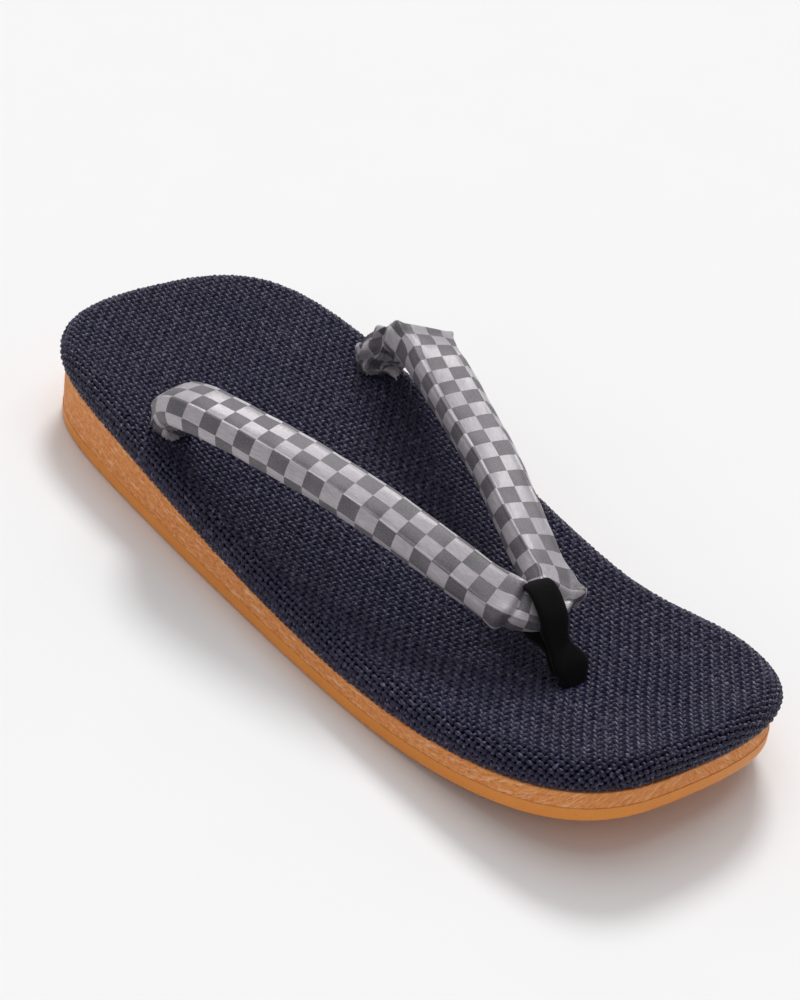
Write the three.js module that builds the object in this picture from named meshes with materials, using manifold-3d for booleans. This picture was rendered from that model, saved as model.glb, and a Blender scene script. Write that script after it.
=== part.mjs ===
// A zori sandal for the left foot, as an assembly of five solids.
//
// Millimetres. +X runs to the toe, +Y to the outer side of the foot, +Z up.
// The origin is on the floor, under the middle of the sandal's box.
import * as THREE from 'three';
import { mergeVertices } from 'three/addons/utils/BufferGeometryUtils.js';
import Module from 'manifold-3d';

const wasm = await Module();
wasm.setup();

// ---------------------------------------------------------------- sizes

const LENGTH = 265;
const HALF = LENGTH / 2;

// Outline of the sole: a superellipse whose half-width changes along the foot.
const TOE_EXPONENT = 2.5;
const HEEL_EXPONENT = 2.6;
const TOE_SKEW = -4;
const WIDTHS = [
  { at: -1.0, outer: 67, inner: 76 },
  { at: -0.5, outer: 49, inner: 52 },
  { at: 0.0, outer: 47, inner: 48.5 },
  { at: 0.5, outer: 49.8, inner: 48.5 },
  { at: 1.0, outer: 89, inner: 61 },
];
// The outer side swells at the ball of the toes; at and spread are shares of half the length.
const TOE_SWELL = { size: 6.5, at: 0.69, spread: 0.19 };
const OUTLINE_POINTS = 96;
// Every piece is moved this far in y at the end, so that the sandal's box is centred on the origin.
const CENTRE_SHIFT = -1.6;

// Side profile: flat on the floor up to the ball, then the toe springs up.
const SPRING_START = 46;
const TOE_SPRING = 13.5;
const TOE_THICKNESS = 9.5;
const HEEL_THICKNESS = 19.1;
const WEDGE_FRONT = 40;
const WEDGE_LENGTH = 160;
const OUTSOLE_THICKNESS = 4.4;
const OUTSOLE_EDGE_ROUND = 1.0;
const MIDSOLE_INSET = 0.3;
const GAP = 0.3;
const SLIVER = 0.05;

// Padded footbed: an edge that stands proud of the sole, crowned over to a slightly dished top.
// The crown is a quarter ellipse above the proud edge, and the tuck is a smaller one below it.
const PAD_OVERHANG = 1.6;
const PAD_CROWN_REACH = 6;
const PAD_CROWN_RISE = 5.2;
const PAD_TUCK_REACH = 2.2;
const PAD_TUCK_RISE = 4.1;
const PAD_EDGE_DEGREES = [-90, -50, -15, 15, 40, 62, 80];
const PAD_DISH = 0.9;
// Rings from the shoulder to the middle: how far in each lies and how much of the dish it takes.
const PAD_TOP_RINGS = [
  { share: 0.25, drop: 0.35 },
  { share: 0.55, drop: 0.75 },
  { share: 0.85, drop: 1 },
];

// Strap: one padded tube, flattened, from one rear hole round the front loop to the other.
// across is the way its outer edge points in plan and roll is how far that edge dips, in degrees.
const STRAP_SECTIONS = [
  { x: -61, y: -36, z: 18, across: -73, roll: 0, wide: 8, thick: 8 },
  { x: -61.5, y: -36.5, z: 25, across: -73, roll: 0, wide: 10, thick: 10 },
  { x: -59, y: -38.5, z: 31.5, across: -73, roll: 0, wide: 12.5, thick: 10 },
  { x: -53.5, y: -41, z: 38, across: -73, roll: 0, wide: 15.5, thick: 9.5 },
  { x: -44.5, y: -42, z: 43, across: -73, roll: 0, wide: 17, thick: 9.5 },
  { x: -30, y: -39.5, z: 45.3, across: -73, roll: 3, wide: 16.5, thick: 9.3 },
  { x: -5, y: -33.2, z: 46, across: -73, roll: 8, wide: 15.5, thick: 9.2 },
  { x: 20, y: -26.3, z: 44.8, across: -73, roll: 14, wide: 14.8, thick: 9 },
  { x: 42, y: -19.6, z: 41.5, across: -72, roll: 22, wide: 14.3, thick: 8.8 },
  { x: 58, y: -14.8, z: 38.5, across: -70, roll: 27, wide: 14, thick: 8.8 },
  { x: 67.5, y: -11.2, z: 37.3, across: -50, roll: 32, wide: 15, thick: 8.4 },
  { x: 71.5, y: -4.5, z: 36.8, across: 0, roll: 42, wide: 12.6, thick: 7.8 },
  { x: 67.5, y: 2.2, z: 37.3, across: 50, roll: 26, wide: 15, thick: 8.4 },
  { x: 58, y: 5.8, z: 38.5, across: 70, roll: 15, wide: 14, thick: 8.6 },
  { x: 42, y: 11, z: 41.5, across: 72, roll: 3, wide: 14.3, thick: 8.4 },
  { x: 20, y: 18, z: 44.8, across: 73, roll: -6, wide: 14.8, thick: 8.4 },
  { x: -5, y: 25.4, z: 46, across: 73, roll: -10, wide: 15.8, thick: 8.4 },
  { x: -27, y: 32.4, z: 46.2, across: 72, roll: -4, wide: 17.2, thick: 8.8 },
  { x: -37, y: 34.9, z: 46.2, across: 60, roll: 3, wide: 18.8, thick: 9.2 },
  { x: -44, y: 36.3, z: 45, across: 48, roll: 3, wide: 19.8, thick: 9.2 },
  { x: -49.5, y: 38.7, z: 41.5, across: 46, roll: 0, wide: 18.6, thick: 9.2 },
  { x: -56, y: 39.6, z: 36.5, across: 54, roll: 0, wide: 15.5, thick: 10 },
  { x: -62, y: 39, z: 31.2, across: 60, roll: 0, wide: 14.5, thick: 10 },
  { x: -65, y: 38, z: 25.5, across: 63, roll: 0, wide: 12.5, thick: 9 },
  { x: -65, y: 37.5, z: 18, across: 63, roll: 0, wide: 9, thick: 8 },
];
const STRAP_STEPS = 4;
const STRAP_SIDES = 16;
const STRAP_EXPONENT = 2.6;

// Front loop: a flat band round the middle of the strap, and its leg down into the footbed.
const LOOP_MIDDLE = { x: 71.5, y: -4.5, z: 36.8 };
const LOOP_WIDTH = 9;
const LOOP_BAND = 1.8;
const LOOP_REACH = 6.9;
const LOOP_HEIGHT = 4.5;
const LOOP_PITCH = 42;
const LOOP_SIDES = 22;
const LEG_SECTIONS = [
  { x: 75.5, y: -4.4, z: 32.6, across: -90, roll: 0, wide: 9, thick: 3.6 },
  { x: 79.3, y: -4, z: 30, across: -86, roll: 0, wide: 8.4, thick: 3.8 },
  { x: 82.6, y: -3, z: 27.2, across: -82, roll: 0, wide: 9.4, thick: 4 },
  { x: 85.2, y: -1.8, z: 24, across: -80, roll: 0, wide: 10.8, thick: 4.4 },
  { x: 86.2, y: -0.9, z: 18, across: -80, roll: 0, wide: 10, thick: 4.4 },
];
const LEG_EXPONENT = 4;

const COLOURS = {
  rubber: 0xd98c3c,
  cork: 0xc98d57,
  weave: 0x23243a,
  cloth: 0x9a979c,
  velvet: 0x101010,
};

// ---------------------------------------------------------------- sole shape

const rad = THREE.MathUtils.degToRad;
const signedPower = (value, power) => Math.sign(value) * Math.abs(value) ** power;

// A smooth curve through one column of a table, by Lagrange's formula.
function through(table, key, at) {
  return table.reduce((sum, row) => {
    const others = table.filter((other) => other !== row);
    const weight = others.reduce((w, other) => (w * (at - other.at)) / (row.at - other.at), 1);
    return sum + weight * row[key];
  }, 0);
}

function outlineAt(angle) {
  const cos = Math.cos(angle);
  const sin = Math.sin(angle);
  const toeShare = 0.5 + 0.5 * Math.tanh(3 * cos);
  const exponent = HEEL_EXPONENT + (TOE_EXPONENT - HEEL_EXPONENT) * toeShare;
  const along = signedPower(cos, 2 / exponent);
  const side = signedPower(sin, 2 / exponent);
  const outerShare = 1 / (1 + Math.exp(-6 * side));
  const swell = TOE_SWELL.size * Math.exp(-(((along - TOE_SWELL.at) / TOE_SWELL.spread) ** 2));
  const outer = (through(WIDTHS, 'outer', along) + swell) * outerShare;
  const halfWidth = outer + through(WIDTHS, 'inner', along) * (1 - outerShare);
  const skew = TOE_SKEW * side * Math.max(along, 0) ** 2;
  return new THREE.Vector2(HALF * along + skew, halfWidth * side);
}

// The outline as points with outward normals. Point i and point N - i face each other across the sole.
function outline() {
  const angles = Array.from({ length: OUTLINE_POINTS }, (_, i) => (2 * Math.PI * i) / OUTLINE_POINTS);
  const step = 1e-3;
  return angles.map((angle) => {
    const ahead = outlineAt(angle + step);
    const behind = outlineAt(angle - step);
    const normal = new THREE.Vector2(ahead.y - behind.y, behind.x - ahead.x).normalize();
    return { point: outlineAt(angle), normal };
  });
}

const OUTLINE = outline();

function floorHeight(x) {
  const t = Math.max(0, (x - SPRING_START) / (HALF - SPRING_START));
  return TOE_SPRING * t * t;
}

function soleThickness(x) {
  const t = THREE.MathUtils.smoothstep(WEDGE_FRONT - x, 0, WEDGE_LENGTH);
  return TOE_THICKNESS + (HEEL_THICKNESS - TOE_THICKNESS) * t;
}

const rimHeight = (x) => floorHeight(x) + soleThickness(x);

// One ring of points: the outline moved inwards, at a height worked out from each point's x.
function ring(inset, height) {
  return OUTLINE.map(({ point, normal }) => {
    const p = point.clone().addScaledVector(normal, -inset);
    return new THREE.Vector3(p.x, p.y, height(p.x));
  });
}

// A ring drawn in towards the middle line of the sole by a share from 0 to 1.
function shrink(points, share, drop) {
  return points.map((p, i) => {
    const facing = points[(points.length - i) % points.length];
    const middle = p.clone().add(facing).multiplyScalar(0.5);
    const moved = p.clone().lerp(middle, share);
    moved.z -= drop;
    return moved;
  });
}

// ---------------------------------------------------------------- meshes

function toGeometry(points, triangles) {
  const geometry = new THREE.BufferGeometry();
  geometry.setAttribute('position', new THREE.Float32BufferAttribute(points.flatMap((p) => [p.x, p.y, p.z]), 3));
  geometry.setIndex(triangles.flat());
  return geometry;
}

// Joins rings of equal length into a closed skin. Rings run anticlockwise seen against the stacking.
function skin(rings, closedLoop) {
  const count = rings[0].length;
  const points = rings.flat();
  const triangles = [];
  const last = closedLoop ? rings.length : rings.length - 1;
  for (let r = 0; r < last; r += 1) {
    const low = r * count;
    const high = ((r + 1) % rings.length) * count;
    for (let i = 0; i < count; i += 1) {
      const j = (i + 1) % count;
      triangles.push([low + i, low + j, high + j], [low + i, high + j, high + i]);
    }
  }
  if (!closedLoop) {
    const top = (rings.length - 1) * count;
    const half = count / 2;
    for (let i = 0; i < half; i += 1) {
      const a = i;
      const b = i + 1;
      const c = count - i - 1;
      const d = (count - i) % count;
      if (c !== b) {
        triangles.push([a, c, b], [top + a, top + b, top + c]);
      }
      if (a !== d) {
        triangles.push([a, d, c], [top + a, top + c, top + d]);
      }
    }
  }
  return toGeometry(points, triangles);
}

function toManifold(geometry) {
  const merged = mergeVertices(geometry, 1e-4);
  return new wasm.Manifold(
    new wasm.Mesh({
      numProp: 3,
      vertProperties: new Float32Array(merged.attributes.position.array),
      triVerts: new Uint32Array(merged.index.array),
    }),
  );
}

// Gives a cut or joined solid back as a geometry, without the slivers that a cut leaves along its edges.
function fromManifold(solid) {
  const mesh = solid.asOriginal().simplify(SLIVER).getMesh();
  const geometry = new THREE.BufferGeometry();
  geometry.setAttribute('position', new THREE.BufferAttribute(mesh.vertProperties, 3));
  geometry.setIndex(new THREE.BufferAttribute(mesh.triVerts, 1));
  return geometry;
}

// ---------------------------------------------------------------- tubes of changing section

function catmullRom(rows, key, t) {
  const span = Math.min(Math.floor(t), rows.length - 2);
  const f = t - span;
  const pick = (i) => rows[THREE.MathUtils.clamp(i, 0, rows.length - 1)][key];
  const [a, b, c, d] = [pick(span - 1), pick(span), pick(span + 1), pick(span + 2)];
  const slopeIn = (c - a) / 2;
  const slopeOut = (d - b) / 2;
  const f2 = f * f;
  const f3 = f2 * f;
  return b * (2 * f3 - 3 * f2 + 1) + slopeIn * (f3 - 2 * f2 + f) + c * (3 * f2 - 2 * f3) + slopeOut * (f3 - f2);
}

function sectionAt(rows, t) {
  const row = {};
  for (const key of Object.keys(rows[0])) {
    row[key] = catmullRom(rows, key, t);
  }
  return row;
}

// One section of a tube: a flattened round, across the way the tube runs. swell makes it larger all round.
function sectionRing(rows, t, sides, exponent, swell) {
  const row = sectionAt(rows, t);
  const end = rows.length - 1;
  const step = 0.05;
  const place = (s) => new THREE.Vector3(...['x', 'y', 'z'].map((key) => catmullRom(rows, key, s)));
  const tangent = place(Math.min(t + step, end)).sub(place(Math.max(t - step, 0))).normalize();
  const turn = rad(row.across);
  const dip = rad(row.roll);
  const across = new THREE.Vector3(
    Math.cos(turn) * Math.cos(dip),
    Math.sin(turn) * Math.cos(dip),
    -Math.sin(dip),
  );
  across.addScaledVector(tangent, -across.dot(tangent)).normalize();
  const up = new THREE.Vector3().crossVectors(across, tangent);
  const middle = new THREE.Vector3(row.x, row.y, row.z);
  return Array.from({ length: sides }, (_, i) => {
    const angle = (2 * Math.PI * i) / sides;
    const a = signedPower(Math.cos(angle), 2 / exponent) * (row.wide / 2 + swell);
    const b = signedPower(Math.sin(angle), 2 / exponent) * (row.thick / 2 + swell);
    return middle.clone().addScaledVector(across, a).addScaledVector(up, b);
  });
}

function tube(rows, steps, sides, exponent, swell) {
  const count = (rows.length - 1) * steps;
  const rings = Array.from({ length: count + 1 }, (_, i) =>
    sectionRing(rows, i / steps, sides, exponent, swell).reverse(),
  );
  return toManifold(skin(rings, false));
}

// ---------------------------------------------------------------- the pieces

function outsole() {
  const under = (x) => floorHeight(x);
  const edge = (x) => floorHeight(x) + OUTSOLE_EDGE_ROUND;
  const top = (x) => floorHeight(x) + OUTSOLE_THICKNESS - GAP;
  return skin([ring(OUTSOLE_EDGE_ROUND, under), ring(0, edge), ring(0, top)], false);
}

function midsole() {
  const under = (x) => floorHeight(x) + OUTSOLE_THICKNESS;
  const top = (x) => rimHeight(x) - GAP;
  return skin([ring(MIDSOLE_INSET, under), ring(MIDSOLE_INSET, top)], false);
}

// The padded edge, from under the pad over its proud edge to its top, then the top dishes to the middle.
function footbedBlank() {
  const rounds = PAD_EDGE_DEGREES.map((degrees) => {
    const reach = degrees < 0 ? PAD_TUCK_REACH : PAD_CROWN_REACH;
    const climb = degrees < 0 ? PAD_TUCK_RISE : PAD_CROWN_RISE;
    const inset = reach * (1 - Math.cos(rad(degrees))) - PAD_OVERHANG;
    const rise = PAD_TUCK_RISE + climb * Math.sin(rad(degrees));
    return ring(inset, (x) => rimHeight(x) + rise);
  });
  const shoulder = ring(PAD_CROWN_REACH, (x) => rimHeight(x) + PAD_TUCK_RISE + PAD_CROWN_RISE);
  const inner = PAD_TOP_RINGS.map(({ share, drop }) => shrink(shoulder, share, drop * PAD_DISH));
  return toManifold(skin([...rounds, shoulder, ...inner], false));
}

const strapTube = (swell) => tube(STRAP_SECTIONS, STRAP_STEPS, STRAP_SIDES, STRAP_EXPONENT, swell);
const legTube = (swell) => tube(LEG_SECTIONS, STRAP_STEPS, STRAP_SIDES, LEG_EXPONENT, swell);

// The loop is a flattened sleeve whose axis runs across the foot.
function sleeve(reach, height, width) {
  const pitch = rad(LOOP_PITCH);
  const side = (y) =>
    Array.from({ length: LOOP_SIDES }, (_, i) => {
      const angle = (2 * Math.PI * i) / LOOP_SIDES;
      const a = signedPower(Math.cos(angle), 2 / STRAP_EXPONENT) * reach;
      const b = signedPower(Math.sin(angle), 2 / STRAP_EXPONENT) * height;
      return new THREE.Vector3(
        LOOP_MIDDLE.x + a * Math.cos(pitch) + b * Math.sin(pitch),
        LOOP_MIDDLE.y + y,
        LOOP_MIDDLE.z - a * Math.sin(pitch) + b * Math.cos(pitch),
      );
    });
  return toManifold(skin([side(width / 2), side(-width / 2)], false));
}

function frontLoop(swell) {
  const outer = sleeve(LOOP_REACH + LOOP_BAND + swell, LOOP_HEIGHT + LOOP_BAND + swell, LOOP_WIDTH + 2 * swell);
  const inner = sleeve(LOOP_REACH - swell, LOOP_HEIGHT - swell, LOOP_WIDTH * 2);
  return outer.add(legTube(swell)).subtract(inner);
}

// ---------------------------------------------------------------- assembly

const clearance = strapTube(GAP).add(legTube(GAP));
const footbed = footbedBlank().subtract(clearance);
const strap = strapTube(0).subtract(frontLoop(GAP));

const sandal = new THREE.Group();

function addPiece(name, geometry, color, roughness) {
  geometry.translate(0, CENTRE_SHIFT, 0);
  const mesh = new THREE.Mesh(geometry, new THREE.MeshStandardMaterial({ color, roughness, metalness: 0 }));
  mesh.name = name;
  sandal.add(mesh);
}

addPiece('outsole', outsole(), COLOURS.rubber, 0.55);
addPiece('midsole', midsole(), COLOURS.cork, 0.85);
addPiece('footbed', fromManifold(footbed), COLOURS.weave, 0.8);
addPiece('strap', fromManifold(strap), COLOURS.cloth, 0.45);
addPiece('front_loop', fromManifold(frontLoop(0)), COLOURS.velvet, 0.95);

export default sandal;
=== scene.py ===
import math

import bpy
import numpy as np
from mathutils import Matrix, Vector, kdtree


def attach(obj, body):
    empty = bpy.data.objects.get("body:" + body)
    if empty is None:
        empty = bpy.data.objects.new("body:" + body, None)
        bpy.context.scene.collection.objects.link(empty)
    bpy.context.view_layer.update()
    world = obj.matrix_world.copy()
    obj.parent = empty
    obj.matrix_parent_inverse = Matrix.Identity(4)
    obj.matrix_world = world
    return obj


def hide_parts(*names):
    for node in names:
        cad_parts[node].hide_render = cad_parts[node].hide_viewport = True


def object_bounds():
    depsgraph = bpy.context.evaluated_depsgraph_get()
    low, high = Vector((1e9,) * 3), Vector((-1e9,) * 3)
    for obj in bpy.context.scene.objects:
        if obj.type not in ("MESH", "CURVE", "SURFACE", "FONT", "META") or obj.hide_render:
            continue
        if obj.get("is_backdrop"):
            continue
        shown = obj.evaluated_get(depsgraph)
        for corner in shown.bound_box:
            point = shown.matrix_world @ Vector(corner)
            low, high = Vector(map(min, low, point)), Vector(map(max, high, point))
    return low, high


# A left zori sandal: rubber outsole, cork midsole, padded woven footbed, checked strap and velvet loop.
# Sizes are in millimetres in the sandal's frame: +X to the toe, +Y to the outer side, +Z up.
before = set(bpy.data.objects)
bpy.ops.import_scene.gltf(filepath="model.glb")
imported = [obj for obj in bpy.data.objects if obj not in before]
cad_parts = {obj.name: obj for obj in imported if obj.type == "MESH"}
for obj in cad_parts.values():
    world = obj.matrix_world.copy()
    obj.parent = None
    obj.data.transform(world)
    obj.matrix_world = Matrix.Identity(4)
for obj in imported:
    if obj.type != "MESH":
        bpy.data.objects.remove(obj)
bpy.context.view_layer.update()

MM = 0.001
SEED = 7

# ---------------------------------------------------------------- shape of the sole

# The outline is a superellipse whose half-widths change along the foot. WIDTH_AT, TOE_SWELL_AT and
# TOE_SWELL_SPREAD are shares of half the length, from the heel at -1 to the toe at 1. TOE_BLEND and
# SIDE_BLEND are how sharply the toe's exponent and the outer side's widths take over.
HALF = 132.5
TOE_EXPONENT = 2.5
HEEL_EXPONENT = 2.6
TOE_SKEW = -4.0
WIDTH_AT = (-1.0, -0.5, 0.0, 0.5, 1.0)
OUTER_WIDTH = (67.0, 49.0, 47.0, 49.8, 89.0)
INNER_WIDTH = (76.0, 52.0, 48.5, 48.5, 61.0)
TOE_SWELL = 6.5
TOE_SWELL_AT = 0.69
TOE_SWELL_SPREAD = 0.19
TOE_BLEND = 3.0
SIDE_BLEND = 6.0
OUTLINE_POINTS = 480
OUTLINE_FINE_POINTS = 3000
OUTLINE_SAMPLES = 7200
# Every mesh is moved this far in y as it is made, so that the sandal's box is centred on the origin.
CENTRE_SHIFT = -1.6

# Side profile: flat on the floor up to the ball, then the toe springs up; the wedge thickens to the heel.
# The flat faces have rings at shares of the way from their edge to the middle line, where a slit stays open.
SPRING_START = 46.0
TOE_SPRING = 13.5
TOE_THICKNESS = 9.5
HEEL_THICKNESS = 19.1
WEDGE_FRONT = 40.0
WEDGE_LENGTH = 160.0
OUTSOLE_THICKNESS = 4.4
OUTSOLE_EDGE_ROUND = 1.0
OUTSOLE_LEVELS = 5
OUTSOLE_TOP_BEVEL = (0.05, 0.15)
OUTSOLE_SHARES = (0.96, 0.7, 0.4, 0.15)
CORK_INSET = 0.15
CORK_DROP = 0.36
CORK_LEVELS = 15
CORK_ROUGHNESS = 0.16
CORK_TOP_BEVEL = 0.5
CORK_SHARES = (0.96, 0.6, 0.2)
GAP = 0.3

# Tread: wavy ribs in a recess inside a plain rim. The profile is a rib's, in shares of its width and depth.
TREAD_DEPTH = 0.9
TREAD_RIM = 5.0
TREAD_RIM_SLOPE = 0.5
TREAD_MARGIN = 1.2
TREAD_END_ROOM = 3
TREAD_PITCH = 4.6
TREAD_RIB = 2.5
TREAD_WAVE = 1.6
TREAD_WAVELENGTH = 13.0
TREAD_WAVE_FADE = 0.4
TREAD_POINTS = 61
TREAD_PROFILE = ((-0.5, 1.0), (-0.36, 0.12), (-0.3, 0.0), (0.3, 0.0), (0.36, 0.12), (0.5, 1.0))

# The pad's edge stands proud of the sole: a quarter ellipse crowns over it and a smaller one tucks under.
PAD_OVERHANG = 1.6
PAD_CROWN_REACH = 6.0
PAD_CROWN_RISE = 5.2
PAD_TUCK_REACH = 2.2
PAD_TUCK_RISE = 4.1
PAD_DISH = 0.9
PAD_DISH_REACH = 34.0
PAD_GATHER = 0.7
PAD_EDGE_LEVELS = 25
PAD_EDGE_SAMPLES = 361
PAD_TOP_SHARES = (0.06, 0.14, 0.24, 0.36, 0.48, 0.6, 0.72, 0.84, 0.95)
PAD_FOOT_SHARES = (0.95, 0.5)
PAD_FOOT = 0.05

# ---------------------------------------------------------------- weave of the footbed

# WEAVE_PITCH is a cell's size along and across the foot. STRAND_FILL is how much of a cell's breadth a strand
# fills, for the strands along the foot and then for those across it. A strand arches up by WEAVE_LIFT over a
# cell, and the pad's own skin lies WEAVE_SINK below the surface.
WEAVE_PITCH = (2.05, 1.78)
WEAVE_HALF_WIDTH = 60
WEAVE_EDGE_MARGIN = 0.8
WEAVE_LIFT = 0.42
WEAVE_SINK = 0.95
STRAND_THICKNESS = 0.7
STRAND_FLATNESS = 0.96
STRAND_FILL = (0.74, 0.7)
STRAND_REACH = 0.86
STRAND_NARROWING = 0.22
STRAND_SINK = 0.15
STRAND_ALONG = 6
STRAND_ACROSS = 5
STRAND_WANDER = 0.16
STRAND_JITTER = 0.05
STRAND_LIFT_JITTER = 0.04

# Where the strap's ends and the loop go into the pad, as turned ellipses: middle, half-length, half-width
# and turn in degrees. The cloth is drawn down by ENTRY_DIP there, fading over ENTRY_SPREAD.
ENTRIES = (
    {"x": -61.3, "y": -36.4, "long": 4.6, "wide": 4.4, "turn": -73.0},
    {"x": -65.0, "y": 38.0, "long": 6.0, "wide": 4.2, "turn": 63.0},
    {"x": 85.8, "y": -1.2, "long": 4.6, "wide": 2.2, "turn": -80.0},
)
ENTRY_DIP = 1.0
ENTRY_SPREAD = 3.0

# ---------------------------------------------------------------- strap and loop

# Rows of x, y, z, across, roll, width and thickness, from the inner rear end round the loop to the outer one.
# across is the way the strap's outer edge points in plan and roll is how far that edge dips, in degrees.
STRAP_SECTIONS = (
    (-61.0, -36.0, 18.0, -73, 0, 8.0, 8.0),
    (-61.5, -36.5, 25.0, -73, 0, 10.0, 10.0),
    (-59.0, -38.5, 31.5, -73, 0, 12.5, 10.0),
    (-53.5, -41.0, 38.0, -73, 0, 15.5, 9.5),
    (-44.5, -42.0, 43.0, -73, 0, 17.0, 9.5),
    (-30.0, -39.5, 45.3, -73, 3, 16.5, 9.3),
    (-5.0, -33.2, 46.0, -73, 8, 15.5, 9.2),
    (20.0, -26.3, 44.8, -73, 14, 14.8, 9.0),
    (42.0, -19.6, 41.5, -72, 22, 14.3, 8.8),
    (58.0, -14.8, 38.5, -70, 27, 14.0, 8.8),
    (67.5, -11.2, 37.3, -50, 32, 15.0, 8.4),
    (72.3, -4.5, 35.7, 0, 42, 11.4, 7.1),
    (67.5, 2.2, 37.3, 50, 26, 15.0, 8.4),
    (58.0, 5.8, 38.5, 70, 15, 14.0, 8.6),
    (42.0, 11.0, 41.5, 72, 3, 14.3, 8.4),
    (20.0, 18.0, 44.8, 73, -6, 14.8, 8.4),
    (-5.0, 25.4, 46.0, 73, -10, 15.8, 8.4),
    (-27.0, 32.4, 46.2, 72, -4, 17.2, 8.8),
    (-37.0, 34.9, 45.6, 60, 12, 18.8, 9.2),
    (-44.0, 36.3, 44.8, 48, 8, 19.8, 9.2),
    (-49.5, 38.7, 41.5, 46, 0, 18.6, 9.2),
    (-56.0, 39.6, 36.5, 54, 0, 15.5, 10.0),
    (-62.0, 39.0, 31.2, 60, 0, 14.5, 10.0),
    (-65.0, 38.0, 25.5, 63, 0, 12.5, 9.0),
    (-65.0, 37.5, 18.0, 63, 0, 9.0, 8.0),
)
INNER_END_ROW = 3
LOOP_ROW = 11
OUTER_END_ROW = 20
STRAP_RINGS = 600
STRAP_SIDES = 144
STRAP_EXPONENT = 4.2
# The top is narrower than the bottom by these shares, on the outer and inner sides, up to a row of the table.
STRAP_TAPER = 0.26
STRAP_TAPER_INSIDE = 0.16
STRAP_TAPER_END = 17.0
STRAP_TAPER_FADE = 1.5

# The cloth's checks, and how far they are shifted along and across between the folds beside the loop.
CHECK_ALONG = 6.35
CHECK_ACROSS = 5.0
CHECK_START = 1.4
CHECK_SHIFT = (2.1, 2.6)
THREAD_PITCH = 0.42

# Folds on both sides of the loop, where the strap turns. near is how far from the loop's middle a fold's top
# lies, slant how much farther off its line is towards the strap's outer side, and corner how far its point
# stands out, at corner_degrees.
FOLDS = (
    {"side": -1, "near": 6.0, "slant": 1.6, "corner": 0.9, "corner_degrees": 52},
    {"side": 1, "near": 4.2, "slant": 2.4, "corner": 3.2, "corner_degrees": 44},
)
FOLD_TOP = 115.0
FOLD_FOOT = -70.0
FOLD_FADE = 40.0
# Swells across a fold: height, distance past the fold's line and spread. The crease is a trough and a ridge.
# Its corner fades over so many degrees below and above, and its facet is the flatter face towards the loop.
FOLD_CREASE = ((-1.1, 0.0, 0.8), (0.7, 2.0, 1.4))
FOLD_POINT = ((0.65, 1.4, 1.7), (0.35, 1.4, 7.0))
CORNER_BELOW = 48
CORNER_ABOVE = 17
FACET_DEPTH = 0.4
FACET_START = 1.5
FACET_END = 9.0
FACET_FADE = 4.0

# Gathers at the strap's ends. They reach their height over grow, turn by drift degrees for each millimetre
# and end in a hem that flares at rim. waves hold how many pleats go round, their share of the height and
# their offset in degrees.
PLEATS_INNER = {
    "grow": 9.0,
    "drift": 1.2,
    "height": 0.6,
    "waves": ((15, 0.5, 20), (23, 0.5, 75)),
    "flare": 0.5,
    "rim": 15.0,
}
PLEATS_OUTER = {
    "grow": 6.0,
    "drift": -2.5,
    "height": 1.15,
    "waves": ((7, 0.55, 35), (11, 0.3, 80), (17, 0.15, 10)),
    "flare": 2.0,
    "rim": 20.5,
}
PLEAT_POWER = 0.7
HEM_SPREAD = 1.6
HEM_WAVES = 5
HEM_WAVE = 0.5

# Pressed edges along the strap, where its top meets its sides.
CRESTS = (
    {"degrees": 43, "height": 0.34, "spread": 8},
    {"degrees": 137, "height": 0.34, "spread": 8},
)
CREST_START = 30.0
RIPPLE = 0.12

# Hollows and puffs: how far past a row of STRAP_SECTIONS, where round the strap, their size and depth.
DENTS = (
    {"row": 2, "past": 0.0, "degrees": -8, "long": 3.2, "spread": 30, "depth": -2.4},
    {"row": 1, "past": 2.5, "degrees": 0, "long": 2.0, "spread": 50, "depth": 0.9},
    {"row": 3, "past": 1.0, "degrees": 95, "long": 1.2, "spread": 50, "depth": -0.35},
    {"row": 19, "past": -1.2, "degrees": 90, "long": 1.5, "spread": 62, "depth": 1.0},
    {"row": 19, "past": 2.6, "degrees": 95, "long": 1.8, "spread": 55, "depth": -0.9},
    {"row": 19, "past": -1.5, "degrees": 135, "long": 2.2, "spread": 16, "depth": 1.3},
    {"row": 19, "past": -1.5, "degrees": 45, "long": 2.2, "spread": 16, "depth": 1.0},
    {"row": 20, "past": 1.0, "degrees": 170, "long": 2.2, "spread": 24, "depth": -1.8},
    {"row": 21, "past": 2.0, "degrees": 150, "long": 3.0, "spread": 22, "depth": 2.2},
    {"row": 22, "past": 0.0, "degrees": 185, "long": 2.6, "spread": 20, "depth": 1.8},
    {"row": 22, "past": 3.6, "degrees": 165, "long": 1.3, "spread": 60, "depth": -1.6},
)

# The loop is a band round the middle of the strap, pitched forward by LOOP_PITCH degrees. Its leg goes down
# into the pad between the toes, in rows of x, y, z and width.
LOOP_MIDDLE = (72.3, -4.5, 35.8)
LOOP_WIDTH = 9.0
LOOP_BAND = 1.8
LOOP_REACH = 6.1
LOOP_HEIGHT = 4.1
LOOP_PITCH = 42.0
LOOP_EXPONENT = 2.6
LOOP_OPEN_DEGREES = 24
LOOP_POINTS = 120
LOOP_SIDES = 48
LOOP_SECTION_POWERS = (0.35, 0.6)
LOOP_SMOOTHING = 6
LEG_POINTS = 40
LEG_JOIN = 8
LEG_SECTIONS = (
    (75.5, -4.4, 32.2, 7.4),
    (79.3, -4.0, 29.6, 6.2),
    (82.4, -3.0, 27.2, 9.8),
    (84.4, -2.2, 24.9, 11.4),
    (85.5, -1.6, 22.2, 8.8),
    (86.2, -0.9, 18.0, 5.0),
)

# ---------------------------------------------------------------- view

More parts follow.
